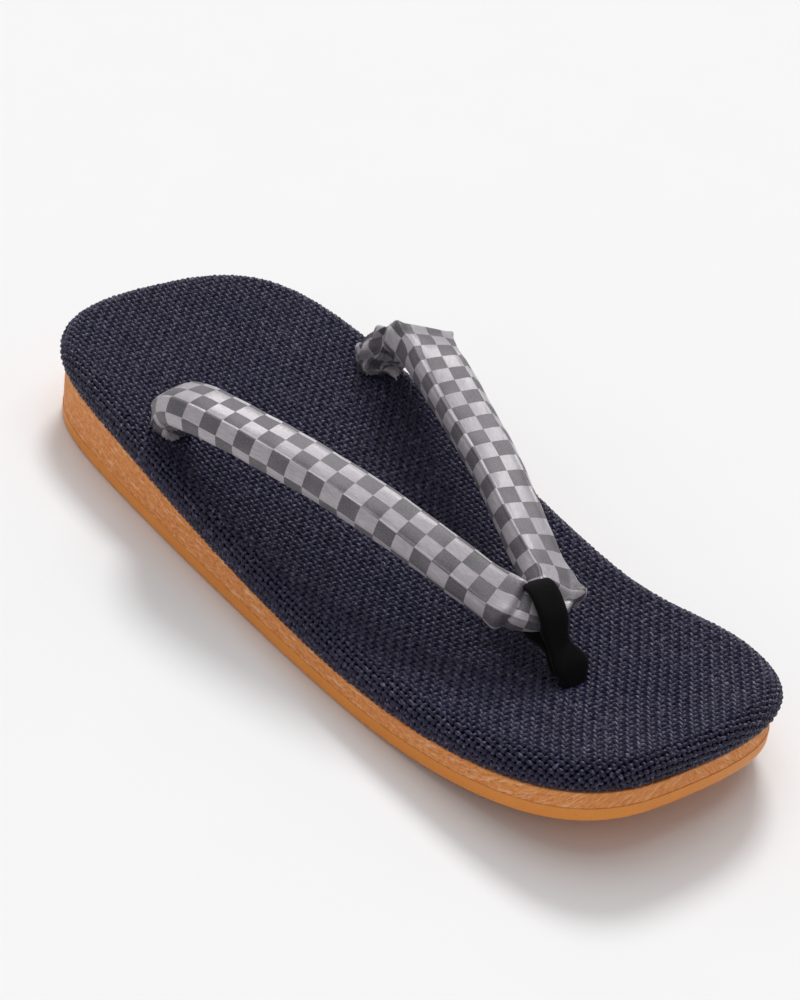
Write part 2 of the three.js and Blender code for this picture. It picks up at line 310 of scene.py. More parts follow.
# The camera stands at CAMERA_AT, in metres, and looks at the middle of the CAD box.
CAMERA_AT = (0.5460, -0.4409, 0.4783)
CAMERA_UP = (-0.5179, 0.2491, 0.8184)
CAMERA_LENS = 106.0
CAMERA_SENSOR = 36.0
FLOOR_HALF = 6000
FLOOR_LEVEL = -0.2
WORLD_STRENGTH = 0.355
# Suns: from is the way to the light, and spread the angle that it fills, in degrees.
LIGHTS = (
    {"name": "wide_softbox", "strength": 1.0, "spread": 60.0, "from": (-0.3, 0.3, 1.5)},
    {"name": "tight_softbox", "strength": 1.55, "spread": 16.0, "from": (-0.85, 0.75, 1.3)},
    {"name": "front_fill", "strength": 0.32, "spread": 50.0, "from": (0.5, -1.0, 0.6)},
)


# ---------------------------------------------------------------- small maths

def signed_power(value, power):
    return np.sign(value) * np.abs(value) ** power


def smoothstep(value):
    t = np.clip(value, 0.0, 1.0)
    return t * t * (3 - 2 * t)


def bump(value):
    return np.exp(-value * value)


def unit(vectors):
    return vectors / np.linalg.norm(vectors, axis=-1, keepdims=True)


def through(column, at):
    """A smooth curve through a column of widths, by Lagrange's formula."""
    total = np.zeros_like(at)
    for i, value in enumerate(column):
        weight = np.ones_like(at)
        for j, other in enumerate(WIDTH_AT):
            if j != i:
                weight = weight * (at - other) / (WIDTH_AT[i] - other)
        total = total + weight * value
    return total


def catmull_rom(table, t):
    """Rows of the table at the places t, counted in rows from the first."""
    rows = np.asarray(table, float)
    last = len(rows) - 1
    span = np.minimum(t.astype(int), last - 1)
    f = (t - span)[:, None]
    a, b, c, d = (rows[np.clip(span + k, 0, last)] for k in (-1, 0, 1, 2))
    slope_in = (c - a) / 2
    slope_out = (d - b) / 2
    f2 = f * f
    f3 = f2 * f
    level = b * (2 * f3 - 3 * f2 + 1) + c * (3 * f2 - 2 * f3)
    return level + slope_in * (f3 - 2 * f2 + f) + slope_out * (f3 - f2)


def even(points, count):
    """A closed line's points, spread again at equal steps."""
    closed = np.vstack([points, points[:1]])
    length = np.concatenate([[0], np.cumsum(np.linalg.norm(np.diff(closed, axis=0), axis=1))])
    at = np.linspace(0, length[-1], count, endpoint=False)
    return np.stack([np.interp(at, length, closed[:, k]) for k in range(points.shape[1])], axis=-1)


def outline_curve(angle):
    """Points of the sole's outline, at angles from the toe towards the outer side."""
    cos = np.cos(angle)
    sin = np.sin(angle)
    toe_share = 0.5 + 0.5 * np.tanh(TOE_BLEND * cos)
    exponent = HEEL_EXPONENT + (TOE_EXPONENT - HEEL_EXPONENT) * toe_share
    along = signed_power(cos, 2 / exponent)
    side = signed_power(sin, 2 / exponent)
    outer_share = 1 / (1 + np.exp(-SIDE_BLEND * side))
    swell = TOE_SWELL * bump((along - TOE_SWELL_AT) / TOE_SWELL_SPREAD)
    outer = (through(OUTER_WIDTH, along) + swell) * outer_share
    half_width = outer + through(INNER_WIDTH, along) * (1 - outer_share)
    x = HALF * along + TOE_SKEW * side * np.maximum(along, 0) ** 2
    return np.stack([x, half_width * side], axis=-1)


def outline(count):
    """The sole's outline, anticlockwise from the toe, with its outward normals."""
    points = even(outline_curve(np.linspace(0, 2 * np.pi, OUTLINE_SAMPLES, endpoint=False)), count)
    along = unit(np.roll(points, -1, axis=0) - np.roll(points, 1, axis=0))
    return points, np.stack([along[:, 1], -along[:, 0]], axis=-1)


OUTLINE, OUTWARD = outline(OUTLINE_POINTS)


def floor_height(x):
    """The height of the sole's underside."""
    t = np.maximum(0, (x - SPRING_START) / (HALF - SPRING_START))
    return TOE_SPRING * t * t


def rim_height(x):
    """The height of the sole's top rim."""
    wedge = smoothstep((WEDGE_FRONT - x) / WEDGE_LENGTH)
    return floor_height(x) + TOE_THICKNESS + (HEEL_THICKNESS - TOE_THICKNESS) * wedge


# ---------------------------------------------------------------- meshes

def mesh_object(name, points, faces, uvs=None):
    """A smooth mesh object from points in millimetres. uvs holds a pair for each corner of each face."""
    faces = np.asarray(faces, np.int32)
    mesh = bpy.data.meshes.new(name)
    mesh.vertices.add(len(points))
    placed = np.asarray(points, float) + (0, CENTRE_SHIFT, 0)
    mesh.vertices.foreach_set("co", (placed * MM).ravel())
    sides = faces.shape[1]
    mesh.loops.add(faces.size)
    mesh.loops.foreach_set("vertex_index", faces.ravel())
    mesh.polygons.add(len(faces))
    mesh.polygons.foreach_set("loop_start", np.arange(0, faces.size, sides, dtype=np.int32))
    mesh.polygons.foreach_set("use_smooth", np.ones(len(faces), bool))
    if uvs is not None:
        layer = mesh.uv_layers.new(name="lay")
        layer.data.foreach_set("uv", np.asarray(uvs, float).ravel())
    mesh.update(calc_edges=True)
    mesh.validate()
    piece = bpy.data.objects.new(name, mesh)
    bpy.context.scene.collection.objects.link(piece)
    return piece


def grid_faces(rows, columns, wrap):
    """Quads over a grid of points, joined round its columns if wrap is true."""
    last = columns if wrap else columns - 1
    r, c = np.meshgrid(np.arange(rows - 1), np.arange(last), indexing="ij")
    low = r * columns
    high = low + columns
    after = (c + 1) % columns
    return np.stack([low + c, low + after, high + after, high + c], axis=-1).reshape(-1, 4)


def grid_uvs(u, v):
    """Corner pairs for the faces of a wrapped grid. u and v have one column more than its points."""
    low_u, high_u = u[:-1], u[1:]
    low_v, high_v = v[:-1], v[1:]
    pairs = [
        np.stack([low_u[:, :-1], low_v[:, :-1]], -1),
        np.stack([low_u[:, 1:], low_v[:, 1:]], -1),
        np.stack([high_u[:, 1:], high_v[:, 1:]], -1),
        np.stack([high_u[:, :-1], high_v[:, :-1]], -1),
    ]
    return np.stack(pairs, axis=2).reshape(-1, 2)


def repeated(faces, points, count):
    """The faces of one patch, numbered again for each of count patches that have so many points."""
    first = np.arange(count) * points
    return (faces[None] + first[:, None, None]).reshape(-1, faces.shape[1])


def finish_piece(piece, material, slot, *nodes):
    """Gives a piece its material and body, and hides the CAD nodes that it stands for. The slot is not used.
    """
    piece.data.materials.append(material)
    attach(piece, "root")
    if nodes:
        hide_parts(*nodes)
    return piece


def sole_ring(inset, height):
    """The outline drawn in by an inset, at a height that is a function of x."""
    plan = OUTLINE - OUTWARD * inset
    return np.column_stack([plan, height(plan[:, 0])])


def with_height(ring, height):
    """The ring in plan, at a height that is a function of x."""
    return np.column_stack([ring[:, :2], height(ring[:, 0])])


def drawn_in(ring, share):
    """The ring moved towards the middle line of the sole by a share from 0 to 1."""
    facing = ring[(-np.arange(len(ring))) % len(ring)]
    middle = (ring + facing) / 2
    return ring + (middle - ring) * share


def ring_piece(name, rings):
    """A mesh object skinned over rings of the outline, from the first to the last."""
    faces = grid_faces(len(rings), len(rings[0]), True)
    return mesh_object(name, rings.reshape(-1, 3), faces, perimeter_uvs(rings))


def perimeter_uvs(rings):
    """u runs round the sole and v up its rings, in millimetres."""
    count = rings.shape[1]
    closed = np.concatenate([rings, rings[:, :1]], axis=1)
    steps = np.linalg.norm(np.diff(OUTLINE, axis=0, append=OUTLINE[:1]), axis=1)
    round_the_sole = np.concatenate([[0], np.cumsum(steps)])
    u = np.tile(round_the_sole, (len(rings), 1))
    climb = np.linalg.norm(np.diff(closed, axis=0), axis=2)
    v = np.concatenate([np.zeros((1, count + 1)), np.cumsum(climb, axis=0)])
    return grid_uvs(u, v)


# ---------------------------------------------------------------- material nodes

class Nodes:
    """Adds shader nodes to one material, with links given as sockets."""

    def __init__(self, name):
        self.material = bpy.data.materials.new(name)
        self.material.use_nodes = True
        self.tree = self.material.node_tree
        self.shader = self.tree.nodes["Principled BSDF"]

    def node(self, kind, inputs=(), **settings):
        """A new node, with its settings made first and then its inputs set or linked."""
        made = self.tree.nodes.new(kind)
        for key, value in settings.items():
            setattr(made, key, value)
        for key, value in dict(inputs).items():
            self.put(made.inputs[key], value)
        return made

    def put(self, socket, value):
        if isinstance(value, bpy.types.NodeSocket):
            self.tree.links.new(value, socket)
        else:
            socket.default_value = value

    def set(self, **values):
        """Sets or links the shader's own sockets, named with _ for a space."""
        for key, value in values.items():
            self.put(self.shader.inputs[key.replace("_", " ")], value)

    def math(self, operation, a, b=0.0):
        return self.node("ShaderNodeMath", {0: a, 1: b}, operation=operation).outputs[0]

    def mix(self, factor, a, b):
        """Colour a where the factor is 0, and b where it is 1."""
        made = self.node("ShaderNodeMix", {0: factor, 6: a, 7: b}, data_type="RGBA")
        return made.outputs[2]

    def blend(self, factor, a, b):
        """Number a where the factor is 0, and b where it is 1."""
        made = self.node("ShaderNodeMix", {0: factor, 2: a, 3: b}, data_type="FLOAT")
        return made.outputs[0]

    def ramp(self, value, low, high):
        """0 below low, 1 above high and a smooth step between them."""
        inputs = {0: value, 1: low, 2: high}
        return self.node("ShaderNodeMapRange", inputs, interpolation_type="SMOOTHSTEP").outputs[0]

    def position(self, scale=(1, 1, 1)):
        """The piece's own place in millimetres, stretched by a scale."""
        place = self.node("ShaderNodeTexCoord").outputs["Object"]
        return self.node("ShaderNodeMapping", {0: place, 3: [s / MM for s in scale]}).outputs[0]

    def lay(self, scale=(1, 1, 1)):
        """The piece's own UV layer, stretched by a scale."""
        place = self.node("ShaderNodeUVMap", uv_map="lay").outputs[0]
        return self.node("ShaderNodeMapping", {0: place, 3: scale}).outputs[0]

    def noise(self, place, scale, detail=3.0, rough=0.55):
        inputs = {"Vector": place, "Scale": scale, "Detail": detail, "Roughness": rough}
        return self.node("ShaderNodeTexNoise", inputs).outputs["Fac"]

    def bump(self, height, distance, strength):
        """A normal from a height, whose full depth is a distance in millimetres."""
        inputs = {"Strength": strength, "Distance": distance * MM, "Height": height}
        return self.node("ShaderNodeBump", inputs).outputs[0]


def colour(red, green, blue):
    """A screen colour from 0 to 255 as linear light."""
    levels = [c / 255 for c in (red, green, blue)]
    linear = [c / 12.92 if c <= 0.04045 else ((c + 0.055) / 1.055) ** 2.4 for c in levels]
    return (*linear, 1.0)


# ---------------------------------------------------------------- materials

def rubber_material():
    n = Nodes("amber_rubber")
    place = n.position()
    cloud = n.noise(place, 0.05, 2.0)
    speck = n.noise(place, 1.6, 4.0)
    body = n.mix(cloud, colour(220, 132, 44), colour(236, 152, 62))
    n.set(
        Base_Color=n.mix(n.ramp(speck, 0.62, 0.8), body, colour(186, 106, 40)),
        Roughness=n.blend(speck, 0.42, 0.62),
        Normal=n.bump(speck, 0.05, 0.6),
        Subsurface_Weight=0.12,
        Subsurface_Scale=2 * MM,
    )
    return n.material


def cork_material():
    n = Nodes("pressed_cork")
    place = n.position()
    streaks = n.node(
        "ShaderNodeTexVoronoi",
        {"Vector": n.lay((0.16, 0.75, 1)), "Scale": 1.0, "Randomness": 1.0},
    )
    pale = n.ramp(n.noise(n.lay((0.16, 0.8, 1)), 1.0, 5.0, 0.65), 0.54, 0.64)
    grain = n.noise(n.lay((0.5, 1.1, 1)), 1.1, 6.0, 0.75)
    dark = n.ramp(n.noise(n.lay((0.4, 1.0, 1)), 1.5, 3.0, 0.6), 0.62, 0.72)
    granule = n.mix(streaks.outputs["Color"], colour(230, 148, 80), colour(242, 168, 102))
    body = n.mix(n.ramp(grain, 0.35, 0.6), colour(204, 118, 58), granule)
    flecked = n.mix(n.math("MULTIPLY", pale, 0.5), body, colour(250, 210, 172))
    crumbs = n.math("ADD", grain, n.math("MULTIPLY", streaks.outputs["Distance"], 0.5))
    n.set(
        Base_Color=n.mix(n.math("MULTIPLY", dark, 0.6), flecked, colour(120, 66, 38)),
        Roughness=n.blend(grain, 0.72, 0.95),
        Normal=n.bump(crumbs, 0.28, 0.8),
    )
    return n.material


def weave_material(name, along, lift):
    """Dark strands with fine fibres that run the way the strand does."""
    n = Nodes(name)
    fibres = n.noise(n.position(along), 1.0, 3.0, 0.6)
    patches = n.noise(n.position(), 0.035, 2.0)
    flecks_and_glints = n.noise(n.position(), 0.9, 2.0)
    shade = n.mix(fibres, colour(4, 2, 20), colour(36, 32, 64))
    # Pale flecks in the yarn, which also stand in for painted glints of light on the strands.
    shade = n.mix(n.ramp(flecks_and_glints, 0.52, 0.74), shade, colour(100, 95, 125))
    shade = n.mix(n.math("MULTIPLY", n.ramp(patches, 0.4, 0.7), 0.4), shade, colour(12, 9, 50))
    n.set(
        Base_Color=shade,
        Roughness=n.blend(fibres, 0.26 + lift, 0.46 + lift),
        Normal=n.bump(fibres, 0.09, 0.7),
        Specular_IOR_Level=0.34,
    )
    return n.material


def pad_material():
    n = Nodes("pad_under_weave")
    speck = n.noise(n.position(), 2.0, 3.0)
    n.set(
        # Near black, darker than any strand: the skin's own dark colour, deepened as painted shade for the
        # gaps between the strands.
        Base_Color=n.mix(speck, colour(2, 2, 5), colour(6, 6, 14)),
        Roughness=n.blend(speck, 0.85, 1.0),
        Specular_IOR_Level=0.1,
        Normal=n.bump(speck, 0.1, 0.6),
    )
    return n.material


def cloth_material():
    """Checks of two weaves: pale satin squares and dark plain ones, in threads that cross."""
    n = Nodes("checked_cloth")
    parts = n.node("ShaderNodeSeparateXYZ", {0: n.lay()})
    along, across = parts.outputs[0], parts.outputs[1]
    row = n.math("FLOOR", n.math("DIVIDE", along, CHECK_ALONG))
    column = n.math("FLOOR", n.math("DIVIDE", across, CHECK_ACROSS))
    dark = n.math("PINGPONG", n.math("ADD", row, column), 1.0)
    thread = 2 * math.pi / THREAD_PITCH
    warp = n.math("SINE", n.math("MULTIPLY", along, thread))
    weft = n.math("SINE", n.math("MULTIPLY", across, thread))
    plain = n.math("MULTIPLY", warp, weft)
    ribs = n.blend(dark, warp, plain)
    slub = n.noise(n.lay((0.22, 1.5, 1)), 1.6, 4.0, 0.7)
    cloud = n.noise(n.position(), 0.08, 2.0)
    grain = n.ramp(n.noise(n.lay((2.2, 2.2, 1)), 1.0, 2.0), 0.3, 0.7)
    pale_shade = n.mix(n.ramp(slub, 0.3, 0.7), colour(154, 148, 154), colour(182, 176, 182))
    dark_shade = n.mix(grain, colour(62, 58, 65), colour(98, 93, 100))
    shade = n.mix(dark, pale_shade, dark_shade)
    shade = n.mix(n.math("MULTIPLY", n.ramp(cloud, 0.4, 0.7), 0.18), shade, colour(150, 140, 150))
    height = n.math("ADD", n.math("MULTIPLY", ribs, 0.5), n.math("MULTIPLY", dark, -0.8))
    n.set(
        Base_Color=shade,
        Roughness=n.math("ADD", n.blend(dark, 0.24, 0.46), n.math("MULTIPLY", slub, 0.12)),
        Normal=n.bump(height, 0.05, 0.8),
        Sheen_Weight=0.15,
        Sheen_Roughness=0.4,
        Specular_IOR_Level=0.75,
    )
    return n.material


def velvet_material():
    n = Nodes("black_velvet")
    pile = n.noise(n.position(), 3.0, 4.0, 0.7)
    nap = n.noise(n.position(), 0.25, 2.0)
    n.set(
        Base_Color=n.mix(nap, colour(4, 4, 5), colour(12, 12, 13)),
        Roughness=n.blend(pile, 0.85, 1.0),
        Normal=n.bump(pile, 0.25, 0.9),
        Specular_IOR_Level=0.08,
        Sheen_Weight=0.05,
        Sheen_Roughness=0.5,
    )
    return n.material


def floor_material():
    n = Nodes("pale_floor")
    speck = n.noise(n.position(), 0.02, 2.0)
    n.set(Base_Color=n.mix(speck, (0.84, 0.84, 0.845, 1), (0.86, 0.86, 0.865, 1)), Roughness=0.8)
    return n.material


# ---------------------------------------------------------------- outsole and midsole

def above_floor(rise):
    """A height function that stays a fixed rise above the underside."""
    return lambda x: floor_height(x) + rise


def above_rim(rise):
    """A height function that stays a fixed rise above the sole's top rim."""
    return lambda x: rim_height(x) + rise


def inner_rings(ring, shares, height):
    """Rings over a flat face, each drawn in by a share. Past the greatest share a slit stays open."""
    return [with_height(drawn_in(ring, share), height) for share in shares]


def outsole():
    """The rubber, from near the middle of its underside, out round its edge and in over its top."""
    height = OUTSOLE_THICKNESS - GAP
    bevel_in, bevel_down = OUTSOLE_TOP_BEVEL
    recess = sole_ring(TREAD_RIM + TREAD_RIM_SLOPE, above_floor(TREAD_DEPTH))
    rings = inner_rings(recess, OUTSOLE_SHARES, above_floor(TREAD_DEPTH))
    rings += [recess, sole_ring(TREAD_RIM, floor_height)]
    for turn in np.radians([0, 30, 60, 90]):
        inset = OUTSOLE_EDGE_ROUND * (1 - math.sin(turn))
        rings.append(sole_ring(inset, above_floor(OUTSOLE_EDGE_ROUND * (1 - math.cos(turn)))))
    for level in np.linspace(OUTSOLE_EDGE_ROUND, height - bevel_down, OUTSOLE_LEVELS)[1:]:
        rings.append(sole_ring(0.0, above_floor(level)))
    top = sole_ring(bevel_in, above_floor(height))
    rings += [top, *inner_rings(top, OUTSOLE_SHARES[::-1], above_floor(height))]
    return ring_piece("outsole_rubber", np.array(rings))


def half_widths(x, inset):
    """The least and greatest y of the outline, drawn in by an inset, at each x."""
    plan = OUTLINE - OUTWARD * inset
    outer = plan[plan[:, 1] > 0]
    inner = plan[plan[:, 1] <= 0]
    outer = outer[np.argsort(outer[:, 0])]
    inner = inner[np.argsort(inner[:, 0])]
    return np.interp(x, inner[:, 0], inner[:, 1]), np.interp(x, outer[:, 0], outer[:, 1])


def tread():
    """Wavy ribs across the underside, whose crests are the surface that the sandal stands on."""
    inset = TREAD_RIM + TREAD_MARGIN
    reach = HALF - inset - TREAD_END_ROOM
    middles = np.arange(-reach, reach, TREAD_PITCH)
    across = np.linspace(0, 1, TREAD_POINTS)
    points = []
    for middle in middles:
        low, high = half_widths(middle, inset)
        y = low + (high - low) * across
        fade = np.sin(np.pi * across) ** TREAD_WAVE_FADE
        wave = TREAD_WAVE * np.sin(2 * np.pi * y / TREAD_WAVELENGTH) * fade
        for offset, rise in TREAD_PROFILE:
            x = middle + wave + offset * TREAD_RIB
            points.append(np.column_stack([x, y, floor_height(x) + rise * TREAD_DEPTH]))
    rib = grid_faces(len(TREAD_PROFILE), TREAD_POINTS, False)[:, ::-1]
    faces = repeated(rib, len(TREAD_PROFILE) * TREAD_POINTS, len(middles))
    return mesh_object("outsole_tread", np.concatenate(points), faces)


def midsole():
    """The cork, with a wall that is slightly uneven all round."""
    random = np.random.default_rng(SEED)
    low = above_floor(OUTSOLE_THICKNESS - CORK_DROP)
    high = above_rim(-GAP)
    foot = sole_ring(CORK_INSET, low)
    head = sole_ring(CORK_INSET, high)
    rings = [foot]
    for share in np.linspace(0.02, 0.96, CORK_LEVELS):
        ring = foot + (head - foot) * share
        ring[:, :2] -= OUTWARD * random.uniform(0, CORK_ROUGHNESS, (len(ring), 1))
        rings.append(ring)
    top = sole_ring(CORK_INSET + CORK_TOP_BEVEL, high)
    under = inner_rings(foot, CORK_SHARES, low)
    lid = inner_rings(top, CORK_SHARES[::-1], high)
    return ring_piece("midsole_cork", np.array([*under, *rings, top, *lid]))


# ---------------------------------------------------------------- footbed

def pad_edge(turn, sink=0.0):
    """Inset and rise of the pad's edge at a turn, 90 degrees at the crown's top and -90 under the pad."""
    above = turn > 0
    reach = np.where(above, PAD_CROWN_REACH, PAD_TUCK_REACH)
    climb = np.where(above, PAD_CROWN_RISE, PAD_TUCK_RISE)
    inset = reach * (1 - np.cos(turn)) - PAD_OVERHANG + sink * np.cos(turn)
    return inset, PAD_TUCK_RISE + (climb - sink) * np.sin(turn)


class Pad:
    """Puts points of the flat woven cloth on the pad: over its top, then round its edge."""

    def __init__(self):
        points, normals = outline(OUTLINE_FINE_POINTS)
        self.turn = np.radians(np.linspace(90, -90, PAD_EDGE_SAMPLES))
        self.inset, self.rise = pad_edge(self.turn)
        steps = np.hypot(np.diff(self.inset), np.diff(self.rise))
        self.arc = np.concatenate([[0], np.cumsum(steps)])
        self.slope = np.arctan2(-np.gradient(self.rise), -np.gradient(self.inset))
        self.start = PAD_CROWN_REACH - PAD_OVERHANG
        self.edge = points - normals * self.start
        self.normals = normals
        self.tree = kdtree.KDTree(len(self.edge))
        for i, (x, y) in enumerate(self.edge):
            self.tree.insert((x, y, 0), i)
        self.tree.balance()

    def nearest(self, plan):
        """The index of the edge point nearest to each point of plan."""
        return np.array([self.tree.find((x, y, 0))[1] for x, y in plan])

    def place(self, plan, lift):
        """Points on the pad for places on the flat cloth, raised off it by lift, and how far each place lies
        past the start of the crown."""
        index = self.nearest(plan)
        edge = self.edge[index]
        normal = self.normals[index]
        outside = np.einsum("ij,ij->i", plan - edge, normal)
        slide = plan - edge - normal * outside[:, None]
        over = outside > 0
        arc = np.clip(outside, 0, self.arc[-1])
        slope = np.interp(arc, self.arc, self.slope)
        reach = self.start - np.interp(arc, self.arc, self.inset) + lift * np.sin(slope)
        flat = np.where(over[:, None], edge + slide * PAD_GATHER + normal * reach[:, None], plan)
        depth = np.clip(-outside / PAD_DISH_REACH, 0, 1)
        dish = PAD_DISH * (1 - (1 - depth) ** 2) + entry_dip(plan)
        rise = np.interp(arc, self.arc, self.rise) + lift * np.where(over, np.cos(slope), 1) - dish
        return np.column_stack([flat, rim_height(flat[:, 0]) + rise]), outside


def entry_dip(plan):
    """How far the cloth is drawn down round each place where the strap goes into the pad."""
    dip = np.zeros(len(plan))
    for entry in ENTRIES:
        turn = math.radians(entry["turn"])
        dx = plan[:, 0] - entry["x"]
        dy = plan[:, 1] - entry["y"]
        a = (dx * math.cos(turn) + dy * math.sin(turn)) / entry["long"]
        b = (dy * math.cos(turn) - dx * math.sin(turn)) / entry["wide"]
        past = np.maximum(np.hypot(a, b) - 1, 0) * (entry["long"] + entry["wide"]) / 2
        dip = np.maximum(dip, ENTRY_DIP * np.exp(-past / ENTRY_SPREAD))
    return dip


def footbed_base(pad):
    """The pad's skin, just below the weave. It is open in a slit along its middle, above and below."""
    rings = []
    for turn in np.radians(np.linspace(-90, 90, PAD_EDGE_LEVELS)):
        inset, rise = pad_edge(turn, WEAVE_SINK)
        rings.append(sole_ring(float(inset), above_rim(max(float(rise), PAD_FOOT))))
    shoulder = rings[-1]
    for share in PAD_TOP_SHARES:
        plan = drawn_in(shoulder, share)[:, :2]
        top, _ = pad.place(plan, np.full(len(plan), -WEAVE_SINK))
        rings.append(top)
    bottom = inner_rings(rings[0], PAD_FOOT_SHARES, above_rim(PAD_FOOT))
    return ring_piece("footbed_pad", np.array([*bottom, *rings]))


def strand_centres(pad, lengthwise, random):
    """The middles of one set's raised lengths, on the flat cloth: every other cell, out to the pad's edge."""
    pitch_x, pitch_y = WEAVE_PITCH
    reach = pad.arc[-1] - pad.start
    last_column = int((HALF + reach) / pitch_x)
    last_row = int((WEAVE_HALF_WIDTH + reach) / pitch_y)
    columns = np.arange(-last_column, last_column + 1)
    rows = np.arange(-last_row, last_row + 1)
    i, j = (part.ravel() for part in np.meshgrid(columns, rows, indexing="ij"))
    chosen = (i + j) % 2 == (0 if lengthwise else 1)
    centres = np.stack([i[chosen] * pitch_x, j[chosen] * pitch_y], axis=-1)
    _, outside = pad.place(centres, np.zeros(len(centres)))
    centres = centres[outside < pad.arc[-1] - WEAVE_EDGE_MARGIN]
    return centres + wander(centres) + random.normal(0, STRAND_JITTER, centres.shape)


def strand_ribbon(lengthwise):
    """One raised length about its middle: its points on the flat cloth, and how far they stand above it."""
    s = np.linspace(-1, 1, STRAND_ALONG)
    q = np.linspace(-1, 1, STRAND_ACROSS)
    along, across = (part.ravel() for part in np.meshgrid(s, q, indexing="ij"))
    pitch_along, pitch_across = WEAVE_PITCH if lengthwise else WEAVE_PITCH[::-1]
    fill = STRAND_FILL[0 if lengthwise else 1]
    run = along * STRAND_REACH * pitch_along
    taper = 1 - STRAND_NARROWING * along**2
    side = across * 0.5 * fill * pitch_across * taper
    arch = WEAVE_LIFT * np.cos(np.pi * run / pitch_along)
    crown = STRAND_THICKNESS * (np.sqrt(1 - STRAND_FLATNESS * across**2) - 1)
    offset = np.stack([run, side] if lengthwise else [side, run], axis=-1)
    return offset, arch + crown - STRAND_SINK


def strand_floats(pad, name, lengthwise):
    """The raised lengths of one set of strands, each an arched ribbon over one cell of the weave."""
    random = np.random.default_rng(SEED + lengthwise)
    centres = strand_centres(pad, lengthwise, random)
    offset, height = strand_ribbon(lengthwise)
    size = 1 + random.normal(0, STRAND_JITTER, (len(centres), 1, 1))
    twist = random.normal(0, STRAND_JITTER, len(centres))
    cos, sin = np.cos(twist)[:, None], np.sin(twist)[:, None]
    turned_x = offset[:, 0] * cos - offset[:, 1] * sin
    turned_y = offset[:, 0] * sin + offset[:, 1] * cos
    turned = np.stack([turned_x, turned_y], axis=-1)
    plan = (centres[:, None] + turned * size).reshape(-1, 2)
    lift = (height[None] + random.normal(0, STRAND_LIFT_JITTER, (len(centres), 1))).ravel()
    points, _ = pad.place(plan, lift)
    patch = grid_faces(STRAND_ALONG, STRAND_ACROSS, False)
    if not lengthwise:
        patch = patch[:, ::-1]
    return mesh_object(name, points, repeated(patch, STRAND_ALONG * STRAND_ACROSS, len(centres)))


def wander(plan):
    """Slow drifts, over lengths in millimetres, that keep the strands from lying dead straight."""
    x, y = plan[:, 0], plan[:, 1]
    dx = np.sin(x / 23 + y / 9) + 0.6 * np.sin(y / 5.1 - x / 31)
    dy = np.sin(x / 11 - y / 17 + 1) + 0.6 * np.sin(x / 6.3 + y / 29)
    return STRAND_WANDER * np.stack([dx, dy], axis=-1)


# ---------------------------------------------------------------- strap

def strap_lines(count):
    """The strap's middle line, with its across and up directions and its widths."""
    last = len(STRAP_SECTIONS) - 1
    t = np.linspace(0, last, count)
    rows = catmull_rom(STRAP_SECTIONS, t)
    step = 0.05
    ahead = catmull_rom(STRAP_SECTIONS, np.minimum(t + step, last))[:, :3]
    behind = catmull_rom(STRAP_SECTIONS, np.maximum(t - step, 0))[:, :3]
    tangent = unit(ahead - behind)
    turn = np.radians(rows[:, 3])
    dip = np.radians(rows[:, 4])
    across = np.stack([np.cos(turn) * np.cos(dip), np.sin(turn) * np.cos(dip), -np.sin(dip)], axis=-1)
    across = unit(across - tangent * np.einsum("ij,ij->i", across, tangent)[:, None])
    up = np.cross(across, tangent)
    return t, rows[:, :3], across, up, rows[:, 5] / 2, rows[:, 6] / 2


def strap_tube(angle):
    """The plain rounded tube: its places in the table, middle line, points and outward directions."""
    t, middle, across, up, half_wide, half_thick = strap_lines(STRAP_RINGS)
    shape_b = signed_power(np.sin(angle), 2 / STRAP_EXPONENT)[None]
    taper = np.where(np.cos(angle) > 0, STRAP_TAPER, STRAP_TAPER_INSIDE)[None]
    taper = taper * (1 - smoothstep((t - STRAP_TAPER_END) / STRAP_TAPER_FADE))[:, None]
    shape_a = signed_power(np.cos(angle), 2 / STRAP_EXPONENT)[None] * (1 - taper * np.maximum(shape_b, 0))
    a = shape_a * half_wide[:, None]
    b = shape_b * half_thick[:, None]
    out_a = signed_power(np.cos(angle), 2 - 2 / STRAP_EXPONENT)[None] / half_wide[:, None]
    out_b = signed_power(np.sin(angle), 2 - 2 / STRAP_EXPONENT)[None] / half_thick[:, None]
    size = np.hypot(out_a, out_b)
    outward = across[:, None] * (out_a / size)[..., None] + up[:, None] * (out_b / size)[..., None]
    points = middle[:, None] + across[:, None] * a[..., None] + up[:, None] * b[..., None]
    return t, middle, points, outward


def strap_lay(points, length, angle, rows_at):
    """The cloth's place for each corner of each face: along the strap, and round it from its top."""
    closed = np.concatenate([points, points[:, :1]], axis=1)
    steps = np.linalg.norm(np.diff(closed, axis=1), axis=2)
    girth = np.concatenate([np.zeros((STRAP_RINGS, 1)), np.cumsum(steps, axis=1)], axis=1)
    top = np.argmin(np.abs(angle - np.pi / 2))
    v = girth - girth[:, top : top + 1]
    u = np.tile(length[:, None] - CHECK_START, (1, STRAP_SIDES + 1))
    uvs = grid_uvs(u, v).reshape(STRAP_RINGS - 1, STRAP_SIDES, 4, 2)
    return shift_checks(uvs, angle, rows_at)


def strap():
    """The strap's cloth: a rounded tube, pushed in and out by its folds, with its checks laid along it."""
    angle = np.linspace(-np.pi / 2, 1.5 * np.pi, STRAP_SIDES, endpoint=False)
    t, middle, points, outward = strap_tube(angle)
    length = np.concatenate([[0], np.cumsum(np.linalg.norm(np.diff(middle, axis=0), axis=1))])
    rows_at = np.interp(np.arange(len(STRAP_SECTIONS)), t, length)
    uvs = strap_lay(points, length, angle, rows_at)
    points = points + outward * strap_relief(length, angle, rows_at)[..., None]
    faces = grid_faces(STRAP_RINGS, STRAP_SIDES, True)
    return mesh_object("strap_cloth", points.reshape(-1, 3), faces[:, ::-1], uvs.reshape(-1, 4, 2)[:, ::-1])


